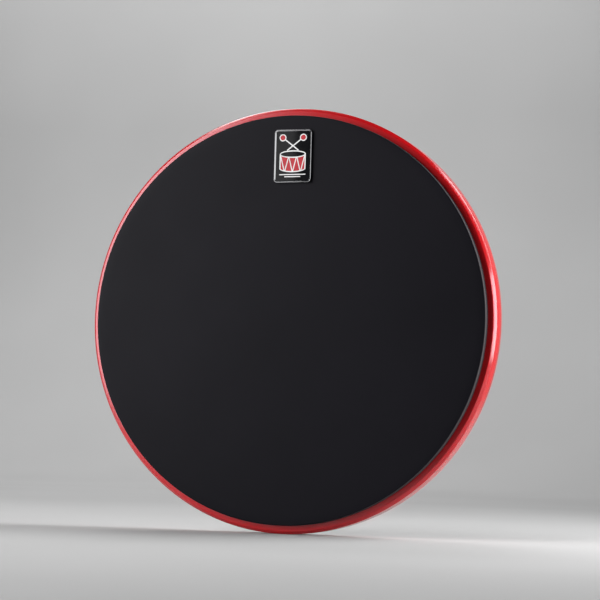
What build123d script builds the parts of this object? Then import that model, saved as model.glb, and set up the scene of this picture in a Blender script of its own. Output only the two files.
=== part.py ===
from build123d import *
import os
from math import cos, radians, sin

# Bass drum practice pad standing on its rim: a round rubber playing pad on a shallow red body.
# Millimetres. +Z is up, -Y is the playing side, and the origin is on the ground under the middle.

# ---- driving dimensions ----
RIM_RADIUS = 177.8          # a 14 inch body
HOOP_DEPTH = 19.0           # red side wall, front lip to back edge
HOOP_WALL = 4.0
LIP_THICKNESS = 3.0         # the hoop's front lip, which the pad covers in part
LIP_INNER_RADIUS = 160.0
FRONT_BEVEL_WIDTH = 2.5     # the bevel between the front lip and the side wall
FRONT_BEVEL_DEPTH = 3.2
FRONT_BEVEL_EASE = 0.5      # both of its edges are eased by this radius
BACK_CORNER_RADIUS = 0.8
FIT_GAP = 0.15              # slip fit between the board, the cover and the hoop

FACE_RADIUS = 170.6
SKIN_THICKNESS = 2.0
CUSHION_THICKNESS = 5.0
SKIN_EDGE_RADIUS = 1.0

COVER_THICKNESS = 3.0
COVER_RECESS = 0.5          # the cover sits this far inside the hoop's back edge
COVER_SCREW_COUNT = 8
COVER_SCREW_CIRCLE = 156.0

FLANGE_RADIUS = 26.0
FLANGE_THICKNESS = 2.5
FLANGE_EDGE_CHAMFER = 0.6
HUB_RADIUS = 7.0
HUB_LENGTH = 11.0
HUB_END_CLEARANCE = 1.0     # free depth in the board beyond the hub's end
THREAD_RADIUS = 3.4         # M8 tapping size
FLANGE_SCREW_COUNT = 3
FLANGE_SCREW_CIRCLE = 17.5

FOOT_COUNT = 4
FOOT_CIRCLE = 118.0
FOOT_BASE_RADIUS = 13.0
FOOT_TIP_RADIUS = 11.0
FOOT_HEIGHT = 4.5
FOOT_EDGE_RADIUS = 0.8
FOOT_WELL_RADIUS = 5.5
FOOT_WELL_DEPTH = 2.6

SCREW_RADIUS = 1.75         # 3.5 mm wood screws
SCREW_HEAD_RADIUS = 3.5
SCREW_HEAD_DEPTH = 2.0
SCREW_LENGTH = 11.0
SCREW_TIP_LENGTH = 2.0
SCREW_TIP_RADIUS = 0.3
DRIVE_ARM = 2.0             # half length of the cross recess
DRIVE_WIDTH = 0.9
DRIVE_DEPTH = 1.1

BADGE_WIDTH = 32.4
BADGE_HEIGHT = 44.4
BADGE_THICKNESS = 2.2
BADGE_CORNER_RADIUS = 2.8
BADGE_BORDER = 1.3          # outer edge to the enamel: a bevel, a narrow flat and an inner slope
BADGE_BEVEL = 0.25
BADGE_INNER_SLOPE = 0.7     # the border falls this far, at 45 degrees, to the enamel
ENAMEL_THICKNESS = 0.5
EMBLEM_WHITE_HEIGHT = 0.25
EMBLEM_RED_HEIGHT = 0.18
TAPE_THICKNESS = 0.4
TAPE_INSET = 0.8
BADGE_OFFSET_X = 3.8        # the badge sits a little to the right of the middle
BADGE_RISE = 136.0          # badge centre above the middle of the face

# ---- worked out from those ----
PAD_THICKNESS = SKIN_THICKNESS + CUSHION_THICKNESS
BADGE_PROUD = TAPE_THICKNESS + BADGE_THICKNESS
ENAMEL_PROUD = BADGE_PROUD - BADGE_INNER_SLOPE
FOOT_PROUD = FOOT_HEIGHT - COVER_RECESS
TOTAL_DEPTH = BADGE_PROUD + PAD_THICKNESS + HOOP_DEPTH + FOOT_PROUD

FACE_Y = -TOTAL_DEPTH / 2 + BADGE_PROUD
SKIN_BACK_Y = FACE_Y + SKIN_THICKNESS
LIP_FRONT_Y = FACE_Y + PAD_THICKNESS
LIP_BACK_Y = LIP_FRONT_Y + LIP_THICKNESS
HOOP_BACK_Y = LIP_FRONT_Y + HOOP_DEPTH
COVER_BACK_Y = HOOP_BACK_Y - COVER_RECESS
COVER_FRONT_Y = COVER_BACK_Y - COVER_THICKNESS
FLANGE_BACK_Y = COVER_BACK_Y + FLANGE_THICKNESS

INNER_RADIUS = RIM_RADIUS - HOOP_WALL - FIT_GAP
CENTRE = Pos(0, 0, RIM_RADIUS)


# ---- helpers ----
def disc(radius, front_y, back_y):
    """A disc about the pad's own axis, between two depths."""
    middle = Pos(0, (front_y + back_y) / 2, 0) * Rot(90, 0, 0)
    return CENTRE * middle * Cylinder(radius, back_y - front_y)


def rear_facing(x, y, z):
    """A plane at a point, given about the pad's axis, whose normal points out of the back."""
    return Plane(origin=(x, y, RIM_RADIUS + z), x_dir=(1, 0, 0), z_dir=(0, 1, 0))


def on_circle(count, radius, first_angle=0.0):
    """Evenly spaced (x, z) places about the pad's axis."""
    angles = [radians(first_angle + 360 * step / count) for step in range(count)]
    return [(radius * cos(angle), radius * sin(angle)) for angle in angles]


def drive_recess():
    """The cross recess of a screw head, cut down from z = 0."""
    arm = Box(2 * DRIVE_ARM, DRIVE_WIDTH, DRIVE_DEPTH, align=(Align.CENTER, Align.CENTER, Align.MAX))
    return arm + Rot(0, 0, 90) * arm


def screw_shank(start, length):
    """A straight shank with a pointed end, from z = start down."""
    straight = length - SCREW_TIP_LENGTH
    body = Pos(0, 0, start - straight / 2) * Cylinder(SCREW_RADIUS, straight)
    tip = Cone(SCREW_TIP_RADIUS, SCREW_RADIUS, SCREW_TIP_LENGTH)
    return body + Pos(0, 0, start - straight - SCREW_TIP_LENGTH / 2) * tip


def countersunk_shape():
    """Flat head wood screw with its head's top at z = 0, before the cross recess is cut."""
    head = Pos(0, 0, -SCREW_HEAD_DEPTH / 2) * Cone(SCREW_RADIUS, SCREW_HEAD_RADIUS, SCREW_HEAD_DEPTH)
    return head + screw_shank(-SCREW_HEAD_DEPTH, SCREW_LENGTH - SCREW_HEAD_DEPTH)


def pan_shape():
    """Pan head wood screw with the underside of its head at z = 0."""
    head = Pos(0, 0, SCREW_HEAD_DEPTH / 2) * Cylinder(SCREW_HEAD_RADIUS, SCREW_HEAD_DEPTH)
    head = fillet(head.edges().sort_by(Axis.Z)[-1], SCREW_HEAD_DEPTH / 2)
    return head + screw_shank(0, SCREW_LENGTH)


def screws_at(places, y, shape):
    """The same screw at each (x, z) place, all at one depth and pointing out of the back."""
    return [rear_facing(x, y, z).location * shape for x, z in places]


COVER_SCREW_PLACES = on_circle(COVER_SCREW_COUNT, COVER_SCREW_CIRCLE, first_angle=22.5)
FLANGE_SCREW_PLACES = on_circle(FLANGE_SCREW_COUNT, FLANGE_SCREW_CIRCLE, first_angle=90)
FOOT_PLACES = on_circle(FOOT_COUNT, FOOT_CIRCLE, first_angle=45)

COVER_SCREW_HOLES = screws_at(COVER_SCREW_PLACES, COVER_BACK_Y, countersunk_shape())
FLANGE_SCREW_HOLES = screws_at(FLANGE_SCREW_PLACES, FLANGE_BACK_Y, countersunk_shape())
FOOT_SCREW_Y = COVER_BACK_Y + FOOT_HEIGHT - FOOT_WELL_DEPTH
FOOT_SCREW_HOLES = screws_at(FOOT_PLACES, FOOT_SCREW_Y, screw_shank(0, SCREW_LENGTH))


# ---- body ----
def red_hoop():
    """Ring with an L section: a flat front lip, a bevel round it, and a straight side wall."""
    bevel_start = (RIM_RADIUS - FRONT_BEVEL_WIDTH, LIP_FRONT_Y)
    bevel_end = (RIM_RADIUS, LIP_FRONT_Y + FRONT_BEVEL_DEPTH)
    outline = Polyline(
        (LIP_INNER_RADIUS, LIP_FRONT_Y),
        bevel_start,
        bevel_end,
        (RIM_RADIUS, HOOP_BACK_Y),
        (RIM_RADIUS - HOOP_WALL, HOOP_BACK_Y),
        (RIM_RADIUS - HOOP_WALL, LIP_BACK_Y),
        (LIP_INNER_RADIUS, LIP_BACK_Y),
        close=True,
    )
    section = make_face(outline)
    bevel = section.vertices().sort_by_distance((*bevel_start, 0))[0:1]
    bevel += section.vertices().sort_by_distance((*bevel_end, 0))[0:1]
    section = fillet(bevel, FRONT_BEVEL_EASE)
    back = section.vertices().group_by(Axis.Y)[-1]
    section = fillet(back, BACK_CORNER_RADIUS)
    return CENTRE * revolve(section, Axis.Y, 360)


def core_board():
    """Stepped disc: its front step fills the lip's opening and its wide part fills the wall."""
    board = disc(INNER_RADIUS, LIP_BACK_Y, COVER_FRONT_Y)
    board += disc(LIP_INNER_RADIUS - FIT_GAP, LIP_FRONT_Y, LIP_BACK_Y)
    pocket_end_y = COVER_BACK_Y - HUB_LENGTH - HUB_END_CLEARANCE
    board -= disc(HUB_RADIUS + FIT_GAP, pocket_end_y, COVER_FRONT_Y)
    for hole in COVER_SCREW_HOLES + FLANGE_SCREW_HOLES + FOOT_SCREW_HOLES:
        board -= hole
    return board


def back_cover():
    """Thin board inside the hoop's back edge, drilled for every screw and for the flange's hub."""
    cover = disc(INNER_RADIUS, COVER_FRONT_Y, COVER_BACK_Y)
    cover -= disc(HUB_RADIUS + FIT_GAP, COVER_FRONT_Y, COVER_BACK_Y)
    for hole in COVER_SCREW_HOLES + FLANGE_SCREW_HOLES + FOOT_SCREW_HOLES:
        cover -= hole
    return cover


def cover_screws():
    return screws_at(COVER_SCREW_PLACES, COVER_BACK_Y, countersunk_shape() - drive_recess())


# ---- playing pad ----
def playing_skin():
    """Thin rubber sheet with a slightly eased front edge."""
    skin = disc(FACE_RADIUS, FACE_Y, SKIN_BACK_Y)
    return fillet(skin.edges().sort_by(Axis.Y)[0], SKIN_EDGE_RADIUS)


def cushion_layer():
    return disc(FACE_RADIUS, SKIN_BACK_Y, LIP_FRONT_Y)


# ---- stand flange and feet ----
def stand_flange():
    """Round flange with a hub through the cover into the board, and a thread for the stand rod."""
    flange = disc(FLANGE_RADIUS, COVER_BACK_Y, FLANGE_BACK_Y)
    flange = chamfer(flange.edges().sort_by(Axis.Y)[-1], FLANGE_EDGE_CHAMFER)
    flange += disc(HUB_RADIUS, COVER_BACK_Y - HUB_LENGTH, COVER_BACK_Y)
    flange -= disc(THREAD_RADIUS, COVER_BACK_Y - HUB_LENGTH, FLANGE_BACK_Y)
    for hole in FLANGE_SCREW_HOLES:
        flange -= hole
    return flange


def flange_screws():
    return screws_at(FLANGE_SCREW_PLACES, FLANGE_BACK_Y, countersunk_shape() - drive_recess())


def rubber_feet():
    """Tapered feet, each with a well that sinks its screw's head."""
    foot = Pos(0, 0, FOOT_HEIGHT / 2) * Cone(FOOT_BASE_RADIUS, FOOT_TIP_RADIUS, FOOT_HEIGHT)
    foot = fillet(foot.edges().sort_by(Axis.Z)[-1], FOOT_EDGE_RADIUS)
    well = Cylinder(FOOT_WELL_RADIUS, FOOT_WELL_DEPTH, align=(Align.CENTER, Align.CENTER, Align.MAX))
    shank = Cylinder(SCREW_RADIUS, FOOT_HEIGHT, align=(Align.CENTER, Align.CENTER, Align.MIN))
    foot = foot - Pos(0, 0, FOOT_HEIGHT) * well - shank
    return screws_at(FOOT_PLACES, COVER_BACK_Y, foot)


def foot_screws():
    drive = Pos(0, 0, SCREW_HEAD_DEPTH) * drive_recess()
    return screws_at(FOOT_PLACES, FOOT_SCREW_Y, pan_shape() - drive)


# ---- badge ----
def badge_plane(proud):
    """A plane parallel to the face at the badge's centre, so far in front of the face."""
    origin = (BADGE_OFFSET_X, FACE_Y - proud, RIM_RADIUS + BADGE_RISE)
    return Plane(origin=origin, x_dir=(1, 0, 0), z_dir=(0, -1, 0))


def badge_outline(inset):
    width = BADGE_WIDTH - 2 * inset
    height = BADGE_HEIGHT - 2 * inset
    return RectangleRounded(width, height, BADGE_CORNER_RADIUS - inset)


def raised(sketch, proud, height):
    """A flat shape given in the badge's own plane, raised to a height in front of it."""
    return extrude(badge_plane(proud) * sketch, height)


def badge_tape():
    return raised(badge_outline(TAPE_INSET), 0, TAPE_THICKNESS)


def badge_frame():
    """Shallow tray: a plate with a bevelled outer edge and a border that slopes in to the enamel."""
    plate = raised(badge_outline(0), TAPE_THICKNESS, BADGE_THICKNESS)
    plate = chamfer(plate.faces().sort_by(Axis.Y)[0].edges(), BADGE_BEVEL)
    plate -= badge_enamel()
    floor = badge_plane(ENAMEL_PROUD) * badge_outline(BADGE_BORDER)
    mouth = badge_plane(BADGE_PROUD) * badge_outline(BADGE_BORDER - BADGE_INNER_SLOPE)
    return plate - loft([floor, mouth])


def badge_enamel():
    return raised(badge_outline(BADGE_BORDER), ENAMEL_PROUD - ENAMEL_THICKNESS, ENAMEL_THICKNESS)


# The emblem is a plain pictogram of a drum with two crossed beaters.
DRUM_HALF_WIDTH = 11.5
DRUM_ELLIPSE_RISE = 3.2
DRUM_TOP = 1.5
DRUM_BOTTOM = -10.5
LINE = 1.0
CORD_WIDTH = 0.8
CORD_ZIGZAGS = 3
BEATER_CROSSING = 8.5
BEATER_TIP = (9.0, 15.4)
BEATER_TAIL = 0.55           # length below the crossing, as a share of the length above it
BEATER_HEAD_RADIUS = 3.0
BEATER_HEAD_LINE = 0.8
RULE_HEIGHTS = (-15.6, -17.4)
RULE_WIDTHS = (23.0, 14.0)
SMALLEST_FIELD = 1.0         # red corners under this area, in square millimetres, are left black


def bar(start, end, width):
    """A straight strip between two points of the badge's plane."""
    path = Line(start, end)
    middle = path @ 0.5
    angle = (Vector(end) - Vector(start)).get_angle(Vector(1, 0, 0))
    if end[1] < start[1]:
        angle = -angle
    return Pos(middle.X, middle.Y) * Rot(0, 0, angle) * Rectangle(path.length, width)


def drum_side(inset):
    """The drum's curved side between its head and its lower edge."""
    half = DRUM_HALF_WIDTH - inset
    rise = DRUM_ELLIPSE_RISE - inset
    middle = (DRUM_TOP + DRUM_BOTTOM) / 2
    side = Pos(0, middle) * Rectangle(2 * half, DRUM_TOP - DRUM_BOTTOM)
    side += Pos(0, DRUM_BOTTOM) * Ellipse(half, rise)
    return side - Pos(0, DRUM_TOP) * Ellipse(DRUM_HALF_WIDTH, DRUM_ELLIPSE_RISE)


def drum_head(inset):
    return Pos(0, DRUM_TOP) * Ellipse(DRUM_HALF_WIDTH - inset, DRUM_ELLIPSE_RISE - inset)


def drum_cords():
    """Zigzag cords down the drum's side."""
    half = DRUM_HALF_WIDTH - LINE
    step = 2 * half / CORD_ZIGZAGS
    drop = DRUM_ELLIPSE_RISE
    cords = []
    for turn in range(CORD_ZIGZAGS):
        left = -half + turn * step
        low = (left + step / 2, DRUM_BOTTOM - drop)
        cords.append(bar((left, DRUM_TOP - drop / 2), low, CORD_WIDTH))
        cords.append(bar(low, (left + step, DRUM_TOP - drop / 2), CORD_WIDTH))
    return cords


def beaters(head_radius):
    """Two crossed shafts, and their heads of the given radius."""
    shafts = []
    heads = []
    for side in (-1, 1):
        tip = (side * BEATER_TIP[0], BEATER_TIP[1])
        tail_x = -side * BEATER_TIP[0] * BEATER_TAIL
        tail_height = BEATER_CROSSING - (BEATER_TIP[1] - BEATER_CROSSING) * BEATER_TAIL
        shafts.append(bar((tail_x, tail_height), tip, LINE))
        heads.append(Pos(*tip) * Circle(head_radius))
    return shafts, heads


def emblem_sketches():
    """The white lines and the red fields, which meet edge to edge."""
    side_line = drum_side(0) - drum_side(LINE)
    cords = drum_side(LINE / 2) & (Sketch() + drum_cords())
    head_line = drum_head(0) - drum_head(LINE)
    shafts, heads = beaters(BEATER_HEAD_RADIUS)
    _, cores = beaters(BEATER_HEAD_RADIUS - BEATER_HEAD_LINE)
    core_discs = Sketch() + cores
    shaft_lines = (Sketch() + shafts) - drum_head(0) - core_discs
    head_rings = (Sketch() + heads) - core_discs
    white = side_line + cords + head_line + shaft_lines + head_rings
    for height, width in zip(RULE_HEIGHTS, RULE_WIDTHS):
        white += Pos(0, height) * Rectangle(width, CORD_WIDTH)
    red = (drum_side(LINE) - white) + core_discs
    return white, Sketch() + [field for field in red.faces() if field.area > SMALLEST_FIELD]


WHITE_SKETCH, RED_SKETCH = emblem_sketches()


def badge_emblem_white():
    return raised(WHITE_SKETCH, ENAMEL_PROUD, EMBLEM_WHITE_HEIGHT)


def badge_emblem_red():
    return raised(RED_SKETCH, ENAMEL_PROUD, EMBLEM_RED_HEIGHT)


# ---- one STEP file for each node ----
NODES = (
    playing_skin,
    cushion_layer,
    red_hoop,
    core_board,
    back_cover,
    cover_screws,
    stand_flange,
    flange_screws,
    rubber_feet,
    foot_screws,
    badge_tape,
    badge_frame,
    badge_enamel,
    badge_emblem_white,
    badge_emblem_red,
)

os.makedirs("parts", exist_ok=True)
for make_node in NODES:
    made = make_node()
    solids = made if isinstance(made, list) else made.solids()
    shape = solids[0] if len(solids) == 1 else Compound(children=list(solids))
    export_step(shape, f"parts/{make_node.__name__}.step")
    print(make_node.__name__, len(solids), "solid(s)", shape.bounding_box().size)
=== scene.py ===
import math
import random

import bmesh
import bpy
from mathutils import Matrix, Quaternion, Vector


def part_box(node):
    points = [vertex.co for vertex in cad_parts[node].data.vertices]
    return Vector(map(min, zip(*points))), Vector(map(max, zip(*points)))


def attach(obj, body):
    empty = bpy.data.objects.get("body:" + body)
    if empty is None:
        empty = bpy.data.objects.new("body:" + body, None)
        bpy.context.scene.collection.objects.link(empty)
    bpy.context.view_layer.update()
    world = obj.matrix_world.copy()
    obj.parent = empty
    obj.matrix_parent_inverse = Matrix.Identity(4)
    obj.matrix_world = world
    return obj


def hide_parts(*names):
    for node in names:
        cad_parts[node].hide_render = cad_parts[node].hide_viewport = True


# The looks of a bass drum practice pad that stands on its rim. Metres, +Z up, the playing face
# looks along -Y. The round pieces that this script makes are turned about the pad's own axis,
# which runs along Y. The screws, the feet, the flange, the boards and the badge are the CAD's own
# solids with better finishes.

MM = 0.001

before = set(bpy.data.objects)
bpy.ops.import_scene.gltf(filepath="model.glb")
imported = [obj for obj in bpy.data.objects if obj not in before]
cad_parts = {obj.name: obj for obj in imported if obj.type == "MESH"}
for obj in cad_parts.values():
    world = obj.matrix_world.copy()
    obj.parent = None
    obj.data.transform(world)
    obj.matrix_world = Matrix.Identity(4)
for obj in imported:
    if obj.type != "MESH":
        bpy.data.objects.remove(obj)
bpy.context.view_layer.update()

# ---- places read from the frame ----
hoop_low, hoop_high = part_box("red_hoop")
skin_low, skin_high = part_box("playing_skin")
cushion_low, cushion_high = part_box("cushion_layer")

RIM_RADIUS = (hoop_high.z - hoop_low.z) / 2
AXIS_Z = (hoop_high.z + hoop_low.z) / 2
FACE_RADIUS = (skin_high.z - skin_low.z) / 2
FACE_Y = skin_low.y

# ---- finer sizes than the boxes give ----
RING_STEPS = 360                # corners of a turned piece
SHARP_ANGLE = 35.0              # degrees: edges sharper than this stay crisp

HOOP_WALL = 4.0 * MM
LIP_THICKNESS = 3.0 * MM
LIP_INNER_RADIUS = 160.0 * MM
LIP_UNDER_PAD = 0.5 * MM        # the lip's outline has a corner this far under the pad's edge
BEVEL_WIDTH = 2.5 * MM
BEVEL_DEPTH = 3.2 * MM
BEVEL_BULGE = 8.0               # degrees that the bevel's face turns through: slightly convex
BEVEL_BULGE_STEPS = 6
BEVEL_EASE = 0.5 * MM           # radius of the two edges of the bevel
BEVEL_EASE_STEPS = 5
BACK_CORNER = 0.8 * MM
BACK_CORNER_STEPS = 6

SKIN_EDGE = 1.0 * MM            # radius of the skin's front edge
SKIN_EDGE_STEPS = 8
SKIN_RINGS = 24
SKIN_WAVE = 0.025 * MM          # height of the slow waves in the face
SKIN_WAVE_FADE = 20 * MM        # they die out over this width, towards the edge

FOAM_RING_STEPS = RING_STEPS * 2
FOAM_SIDE_STEPS = 12
FOAM_INSET = 0.1 * MM           # the foam is cut this much smaller than the skin
FOAM_HOLLOW = 0.2 * MM          # its side is hollow by this much half way
FOAM_SPREAD = 0.35 * MM         # and spreads by this much where it is glued to the lip
FOAM_CUT_DEPTH = 0.06 * MM      # the deepest line that the cutter left
FOAM_CUT_SEED = 7


# ---- mesh helpers ----
def new_object(name, mesh):
    made = bpy.data.objects.new(name, mesh)
    bpy.context.scene.collection.objects.link(made)
    return made


def mark_sharp(mesh):
    """Smooth shading, with sharp edges kept crisp."""
    made = bmesh.new()
    made.from_mesh(mesh)
    bmesh.ops.recalc_face_normals(made, faces=made.faces)
    for face in made.faces:
        face.smooth = True
    for edge in made.edges:
        if len(edge.link_faces) == 2 and edge.calc_face_angle() > math.radians(SHARP_ANGLE):
            edge.smooth = False
    made.to_mesh(mesh)
    made.free()


def arc(centre_r, centre_y, radius, start, end, steps):
    """Points of an arc in the (r, y) half plane, angles in degrees from +r towards +y."""
    points = []
    for step in range(steps + 1):
        angle = math.radians(start + (end - start) * step / steps)
        points.append((centre_r + radius * math.cos(angle), centre_y + radius * math.sin(angle)))
    return points


def turned(name, outline, steps=RING_STEPS, closed=True, wobble=None):
    """A solid turned about the pad's axis from its (r, y) outline. A point at r = 0 makes a pole.
    wobble gives the shift of a point in r and y from its radius, y and angle."""
    mesh = bpy.data.meshes.new(name)
    made = bmesh.new()
    rings = []
    for radius, y in outline:
        if radius <= 0:
            rings.append([made.verts.new((0, y, AXIS_Z))])
            continue
        ring = []
        for step in range(steps):
            angle = 2 * math.pi * step / steps
            shift_r, shift_y = wobble(radius, y, angle) if wobble else (0, 0)
            reach = radius + shift_r
            x, z = reach * math.cos(angle), AXIS_Z + reach * math.sin(angle)
            ring.append(made.verts.new((x, y + shift_y, z)))
        rings.append(ring)
    pairs = list(zip(rings, rings[1:]))
    if closed:
        pairs.append((rings[-1], rings[0]))
    for one, two in pairs:
        for step in range(steps):
            after = (step + 1) % steps
            corners = [one[step % len(one)], one[after % len(one)],
                       two[after % len(two)], two[step % len(two)]]
            corners = list(dict.fromkeys(corners))      # a pole's corner counts once
            if len(corners) > 2:
                made.faces.new(corners)
    made.to_mesh(mesh)
    made.free()
    mark_sharp(mesh)
    return new_object(name, mesh)


# ---- material helpers ----
def material(name):
    """A new material, its node tree and its shader."""
    made = bpy.data.materials.new(name)
    made.use_nodes = True
    tree = made.node_tree
    return made, tree, tree.nodes["Principled BSDF"]


def object_coordinates(tree):
    return tree.nodes.new("ShaderNodeTexCoord").outputs["Object"]


def noise(tree, scale, detail=3.0, roughness=0.5):
    """A 0 to 1 noise in the object's own coordinates, in metres."""
    made = tree.nodes.new("ShaderNodeTexNoise")
    made.inputs["Scale"].default_value = scale
    made.inputs["Detail"].default_value = detail
    made.inputs["Roughness"].default_value = roughness
    tree.links.new(object_coordinates(tree), made.inputs["Vector"])
    return made.outputs["Fac"]


def between(tree, factor, low, high):
    """Maps a 0 to 1 factor to a range of numbers."""
    made = tree.nodes.new("ShaderNodeMapRange")
    made.inputs["To Min"].default_value = low
    made.inputs["To Max"].default_value = high
    tree.links.new(factor, made.inputs["Value"])
    return made.outputs["Result"]


def mixed_colour(tree, factor, one, two, low=0.35, high=0.65):
    """Blends two colours by a factor between two thresholds."""
    made = tree.nodes.new("ShaderNodeValToRGB")
    made.color_ramp.elements[0].position = low
    made.color_ramp.elements[1].position = high
    made.color_ramp.elements[0].color = (*one, 1)
    made.color_ramp.elements[1].color = (*two, 1)
    tree.links.new(factor, made.inputs["Fac"])
    return made.outputs["Color"]


def bump(tree, shader, heights):
    """Chains bumps given as (height, strength, distance in metres)."""
    normal = None
    for height, strength, distance in heights:
        made = tree.nodes.new("ShaderNodeBump")
        made.inputs["Strength"].default_value = strength
        made.inputs["Distance"].default_value = distance
        tree.links.new(height, made.inputs["Height"])
        if normal:
            tree.links.new(normal, made.inputs["Normal"])
        normal = made.outputs["Normal"]
    tree.links.new(normal, shader.inputs["Normal"])


def face_rubber():
    """Smooth matt black rubber with a very fine pebble and slow changes in its sheen."""
    dark, light = (0.0042, 0.0038, 0.0062), (0.0054, 0.0049, 0.0078)
    made, tree, shader = material("face_rubber")
    slow = noise(tree, 9, 4)
    tree.links.new(mixed_colour(tree, slow, dark, light), shader.inputs["Base Color"])
    tree.links.new(between(tree, noise(tree, 26, 5), 0.43, 0.51), shader.inputs["Roughness"])
    shader.inputs["Specular IOR Level"].default_value = 0.075
    pebble, ripple = noise(tree, 2600, 2), noise(tree, 420, 3)
    bump(tree, shader, [(pebble, 0.25, 0.03 * MM), (ripple, 0.1, 0.04 * MM)])
    return made


def cut_rubber(name, dark, light):
    """The side of a sheet where it was cut: paler and rough, with a fine grain."""
    made, tree, shader = material(name)
    grain = noise(tree, 900, 4, 0.65)
    tree.links.new(mixed_colour(tree, grain, dark, light), shader.inputs["Base Color"])
    shader.inputs["Roughness"].default_value = 0.78
    shader.inputs["Specular IOR Level"].default_value = 0.3
    bump(tree, shader, [(grain, 0.5, 0.15 * MM)])
    return made


def red_lacquer():
    """Glossy red with a faint orange peel and slow changes in gloss."""
    dark, light = (0.46, 0.0026, 0.005), (0.50, 0.0036, 0.0068)
    made, tree, shader = material("red_lacquer")
    slow = noise(tree, 14, 3)
    tree.links.new(mixed_colour(tree, slow, dark, light), shader.inputs["Base Color"])
    tree.links.new(between(tree, noise(tree, 60, 4), 0.15, 0.21), shader.inputs["Roughness"])
    shader.inputs["Specular IOR Level"].default_value = 0.6
    shader.inputs["Specular Tint"].default_value = (1.0, 0.92, 1.0, 1)
    peel = noise(tree, 500, 2)
    bump(tree, shader, [(peel, 0.08, 0.06 * MM)])
    return made


def metal(name, colour, rough_low, rough_high):
    """Plated metal with a fine grain."""
    made, tree, shader = material(name)
    shader.inputs["Metallic"].default_value = 1.0
    fine = noise(tree, 300, 4)
    darker = tuple(channel * 0.92 for channel in colour)
    tree.links.new(mixed_colour(tree, fine, darker, colour), shader.inputs["Base Color"])
    tree.links.new(between(tree, fine, rough_low, rough_high), shader.inputs["Roughness"])
    bump(tree, shader, [(fine, 0.05, 0.02 * MM)])
    return made


def enamel(name, dark, light, rough=0.03):
    """Glossy fired enamel with a slight unevenness."""
    made, tree, shader = material(name)
    uneven = noise(tree, 220, 3)
    tree.links.new(mixed_colour(tree, uneven, dark, light), shader.inputs["Base Color"])
    tree.links.new(between(tree, uneven, rough, rough + 0.02), shader.inputs["Roughness"])
    bump(tree, shader, [(uneven, 0.03, 0.01 * MM)])
    return made


def fibre(name, dark, light, scale):
    """Pressed wood fibre: short flecks over slow cloudy changes."""
    made, tree, shader = material(name)
    cloud_share = 0.3
    flecks = noise(tree, scale, 6, 0.7)
    clouds = noise(tree, 26, 5, 0.6)
    mixed = tree.nodes.new("ShaderNodeMix")
    mixed.inputs["Factor"].default_value = cloud_share
    tree.links.new(flecks, mixed.inputs["A"])
    tree.links.new(clouds, mixed.inputs["B"])
    blend = mixed.outputs["Result"]
    tree.links.new(mixed_colour(tree, blend, dark, light, 0.42, 0.58), shader.inputs["Base Color"])
    tree.links.new(between(tree, blend, 0.45, 0.85), shader.inputs["Roughness"])
    lumps = noise(tree, 160, 4)
    bump(tree, shader, [(flecks, 0.35, 0.15 * MM), (lumps, 0.2, 0.3 * MM)])
    return made


def moulded_rubber(name):
    """Black rubber or foam with a fine matt grain."""
    dark, light = (0.012, 0.012, 0.013), (0.022, 0.022, 0.023)
    made, tree, shader = material(name)
    fine = noise(tree, 1400, 3)
    tree.links.new(mixed_colour(tree, fine, dark, light), shader.inputs["Base Color"])
    shader.inputs["Roughness"].default_value = 0.66
    bump(tree, shader, [(fine, 0.3, 0.06 * MM)])
    return made


def paint(obj, *materials):
    """Replaces the object's materials."""
    obj.data.materials.clear()
    for each in materials:
        obj.data.materials.append(each)


# ---- the round pieces ----
def bevel_outline(front):
    """The bevel between the front lip and the wall, with both of its edges eased."""
    slope = math.degrees(math.atan2(BEVEL_DEPTH, BEVEL_WIDTH))
    low_slope, high_slope = slope - BEVEL_BULGE / 2, slope + BEVEL_BULGE / 2
    low_ease = BEVEL_EASE * math.tan(math.radians(low_slope / 2))
    high_ease = BEVEL_EASE * math.tan(math.radians((90 - high_slope) / 2))
    face_start, face_end = low_slope - 90, high_slope - 90      # the way the face looks at its ends
    lip_edge = arc(RIM_RADIUS - BEVEL_WIDTH - low_ease, front + BEVEL_EASE, BEVEL_EASE,
                   -90, face_start, BEVEL_EASE_STEPS)
    wall_edge = arc(RIM_RADIUS - BEVEL_EASE, front + BEVEL_DEPTH + high_ease, BEVEL_EASE,
                    face_end, 0, BEVEL_EASE_STEPS)
    # the convex face between them is part of a large circle through both ends
    start, end = Vector(lip_edge[-1]), Vector(wall_edge[0])
    radius = (end - start).length / (2 * math.sin(math.radians(BEVEL_BULGE / 2)))
    facing = Vector((math.cos(math.radians(face_start)), math.sin(math.radians(face_start))))
    middle = start - facing * radius
    face = arc(middle.x, middle.y, radius, face_start, face_end, BEVEL_BULGE_STEPS)[1:-1]
    return lip_edge + face + wall_edge


def hoop_outline():
    """L section: a flat front lip with a bevel round it, and a straight wall."""
    front, back = hoop_low.y, hoop_high.y
    inner = RIM_RADIUS - HOOP_WALL
    corner_y = back - BACK_CORNER
    points = [(LIP_INNER_RADIUS, front), (FACE_RADIUS - LIP_UNDER_PAD, front)]
    points += bevel_outline(front)
    points += arc(RIM_RADIUS - BACK_CORNER, corner_y, BACK_CORNER, 0, 90, BACK_CORNER_STEPS)
    points += arc(inner + BACK_CORNER, corner_y, BACK_CORNER, 90, 180, BACK_CORNER_STEPS)
    points += [(inner, front + LIP_THICKNESS), (LIP_INNER_RADIUS, front + LIP_THICKNESS)]
    return points


def make_hoop():
    """The red body, in one turned piece."""
    hoop = turned("red_hoop_ring", hoop_outline())
    paint(hoop, red_lacquer())
    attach(hoop, "root")
    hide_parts("red_hoop")


def face_swell(radius, y, angle):
    """A rubber sheet is never dead flat: three waves around and about two from middle to edge."""
    wave = math.sin(3 * angle + radius * 40) * math.sin(radius * 70)
    return 0, SKIN_WAVE * wave * min(1, (FACE_RADIUS - radius) / SKIN_WAVE_FADE)


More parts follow.
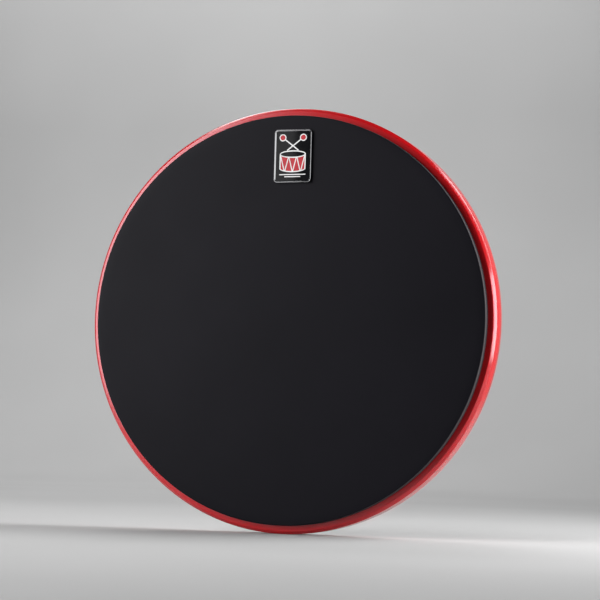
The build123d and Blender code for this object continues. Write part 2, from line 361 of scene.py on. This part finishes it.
def make_skin():
    """The struck sheet, in face rubber, with a rounded edge and a cut side."""
    front, back = skin_low.y, skin_high.y
    flat_radius = FACE_RADIUS - SKIN_EDGE
    outline = [(flat_radius * ring / SKIN_RINGS, front) for ring in range(SKIN_RINGS + 1)]
    outline += arc(flat_radius, front + SKIN_EDGE, SKIN_EDGE, -90, 0, SKIN_EDGE_STEPS)[1:]
    outline += [(FACE_RADIUS, back), (0, back)]
    skin = turned("playing_skin_sheet", outline, closed=False, wobble=face_swell)
    front_finish = face_rubber()
    side_finish = cut_rubber("skin_cut_edge", (0.020, 0.018, 0.020), (0.030, 0.027, 0.030))
    paint(skin, front_finish, side_finish)
    for face in skin.data.polygons:
        if abs(face.normal.y) < 0.5:        # faces that look outwards more than forwards
            face.material_index = 1
    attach(skin, "root")
    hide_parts("playing_skin")


def make_cushion():
    """The foam layer, whose cut side is a little hollow and spreads where it is glued to the lip."""
    front, back = cushion_low.y, cushion_high.y
    middle = (front + back) / 2
    half = (back - front) / 2
    outline = [(0, front)]
    for step in range(FOAM_SIDE_STEPS + 1):
        along = -1 + 2 * step / FOAM_SIDE_STEPS         # from -1 at the skin to 1 at the lip
        hollow = FOAM_HOLLOW * (1 - along * along)
        spread = FOAM_SPREAD * ((1 + along) / 2) ** 2
        outline.append((FACE_RADIUS - FOAM_INSET - hollow + spread, middle + half * along))
    outline.append((0, back))
    lines = random.Random(FOAM_CUT_SEED)
    depths = [lines.uniform(0, FOAM_CUT_DEPTH) for _ in range(FOAM_RING_STEPS)]

    def cut_lines(radius, y, angle):
        """The cutter's lines run straight across the foam's side."""
        place = round(angle / (2 * math.pi) * FOAM_RING_STEPS) % FOAM_RING_STEPS
        return -depths[place], 0

    cushion = turned("cushion_layer_foam", outline, steps=FOAM_RING_STEPS, closed=False, wobble=cut_lines)
    paint(cushion, cut_rubber("foam_cut_edge", (0.036, 0.031, 0.035), (0.054, 0.047, 0.052)))
    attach(cushion, "root")
    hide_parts("cushion_layer")


make_hoop()
make_skin()
make_cushion()

# ---- CAD nodes that stay, with better finishes ----
black_screws = metal("black_zinc", (0.20, 0.20, 0.21), 0.25, 0.38)
NODE_FINISHES = {
    "core_board": fibre("raw_fibre", (0.30, 0.20, 0.12), (0.48, 0.34, 0.21), 700),
    "back_cover": fibre("black_fibre", (0.008, 0.008, 0.008), (0.029, 0.028, 0.026), 420),
    "cover_screws": black_screws,
    "flange_screws": black_screws,
    "foot_screws": black_screws,
    "stand_flange": metal("zinc_plate", (0.55, 0.55, 0.57), 0.25, 0.4),
    "rubber_feet": moulded_rubber("foot_rubber"),
    "badge_tape": moulded_rubber("tape_foam"),
    "badge_frame": metal("badge_chrome", (0.76, 0.76, 0.78), 0.05, 0.09),
    "badge_enamel": enamel("black_enamel", (0.004, 0.004, 0.005), (0.007, 0.007, 0.008)),
    "badge_emblem_white": enamel("white_enamel", (0.74, 0.74, 0.74), (0.82, 0.82, 0.82), 0.2),
    "badge_emblem_red": enamel("red_enamel", (0.42, 0.012, 0.022), (0.50, 0.016, 0.028), 0.2),
}
for node, finish in NODE_FINISHES.items():
    paint(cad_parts[node], finish)


# ---- studio ----
CAMERA_AZIMUTH = 19.66          # degrees, from straight in front of the face towards its right
CAMERA_ELEVATION = -3.71
CAMERA_ROLL = 1.51
CAMERA_DISTANCE = 9.315 * RIM_RADIUS
CAMERA_LENS = 119.8             # mm, on the sensor below
CAMERA_SENSOR = 36
CAMERA_AIM = Vector((0.0652, 0.02, 0.0902)) * RIM_RADIUS        # from the middle of the face

# name, azimuths, heights, distance from the pad's middle, brightness
PANELS = [
    # the key and the dim reflector beside it light the face and the left of the rim
    ("key", (-68, -24.5), (0.11, 1.5), 1.54, 7.2),
    ("key_reflector", (-45, -19.2), (0.0, 1.4), 2.06, 0.7),
    # these light the right of the rim and mirror in its bevel
    ("side_panel", (85, 118), (0.05, 0.43), 0.74, 11.5),
    ("upper_side_panel", (101, 136), (0.42, 1.3), 0.74, 9.5),
    ("side_reflector", (63, 76), (0.32, 0.62), 0.95, 0.9),
]


def make_floor():
    """A pale floor that curves up into a backdrop."""
    front, back = -8.0, 2.6         # its near edge, and the backdrop's place behind the pad
    width, height = 14.0, 4.0
    bend, bend_steps = 0.8, 12
    outline = [(front, 0.0), (back - bend, 0.0)]
    for step in range(1, bend_steps + 1):
        angle = math.radians(90 * step / bend_steps)
        outline.append((back - bend + bend * math.sin(angle), bend - bend * math.cos(angle)))
    outline.append((back, height))
    mesh = bpy.data.meshes.new("studio_floor")
    points = [(side * width / 2, y, z) for y, z in outline for side in (-1, 1)]
    faces = [(2 * step, 2 * step + 1, 2 * step + 3, 2 * step + 2) for step in range(len(outline) - 1)]
    mesh.from_pydata(points, [], faces)
    floor = new_object("studio_floor", mesh)
    for face in mesh.polygons:
        face.use_smooth = True
    dark, light = (0.42, 0.42, 0.42), (0.45, 0.45, 0.45)
    made, tree, shader = material("pale_floor")
    tree.links.new(mixed_colour(tree, noise(tree, 2, 2), dark, light), shader.inputs["Base Color"])
    shader.inputs["Roughness"].default_value = 0.85
    paint(floor, made)


def add_light(name, place, rotation, width, height, brightness):
    """A rectangular area light. Its brightness is that of its surface, whatever its size."""
    lamp = bpy.data.lights.new(name, "AREA")
    lamp.shape = "RECTANGLE"
    lamp.size = width
    lamp.size_y = height
    lamp.energy = brightness * math.pi * width * height
    made = new_object(name, lamp)
    made.location = place
    made.rotation_euler = rotation


def upright_panel(name, azimuths, heights, distance, brightness):
    """A soft box that faces the pad's axis, between two azimuths (0 is in front of the face, and
    positive is to its right) and two heights above the floor."""
    middle = math.radians(sum(azimuths) / 2)
    half_angle = math.radians(abs(azimuths[1] - azimuths[0]) / 2)
    towards = Vector((math.sin(middle), -math.cos(middle), 0))
    place = towards * distance + Vector((0, 0, sum(heights) / 2))
    rotation = (-towards).to_track_quat("-Z", "Y").to_euler()
    width = 2 * distance * math.tan(half_angle)
    add_light(name, place, rotation, width, heights[1] - heights[0], brightness)


def make_world():
    """A dim, faintly blue surrounding light."""
    world = bpy.data.worlds.new("studio_world")
    bpy.context.scene.world = world
    world.use_nodes = True
    background = world.node_tree.nodes["Background"]
    background.inputs["Color"].default_value = (0.9, 0.93, 1.0, 1)
    background.inputs["Strength"].default_value = 0.04


def make_camera(target):
    """The camera stands to the right of the face and a little below its middle, slightly rolled."""
    azimuth, elevation = math.radians(CAMERA_AZIMUTH), math.radians(CAMERA_ELEVATION)
    away = Vector((math.sin(azimuth) * math.cos(elevation),
                   -math.cos(azimuth) * math.cos(elevation),
                   math.sin(elevation)))
    lens = bpy.data.cameras.new("camera")
    lens.lens = CAMERA_LENS
    lens.sensor_width = CAMERA_SENSOR
    made = new_object("camera", lens)
    made.location = target + away * CAMERA_DISTANCE
    aim = target + CAMERA_AIM
    level = (aim - made.location).to_track_quat("-Z", "Y")
    roll = Quaternion((0, 0, 1), math.radians(CAMERA_ROLL))
    made.rotation_euler = (level @ roll).to_euler()
    bpy.context.scene.camera = made


make_floor()
make_world()
for panel in PANELS:
    upright_panel(*panel)
# this one lights the part of the backdrop that the camera sees
add_light("rear_overhead_panel", place=(-1.0, 1.65, 2.3), rotation=(math.radians(25), 0, 0),
          width=1.6, height=1.5, brightness=5.9)
make_camera(Vector((0, FACE_Y, AXIS_Z)))
bpy.context.scene.view_settings.view_transform = "Standard"
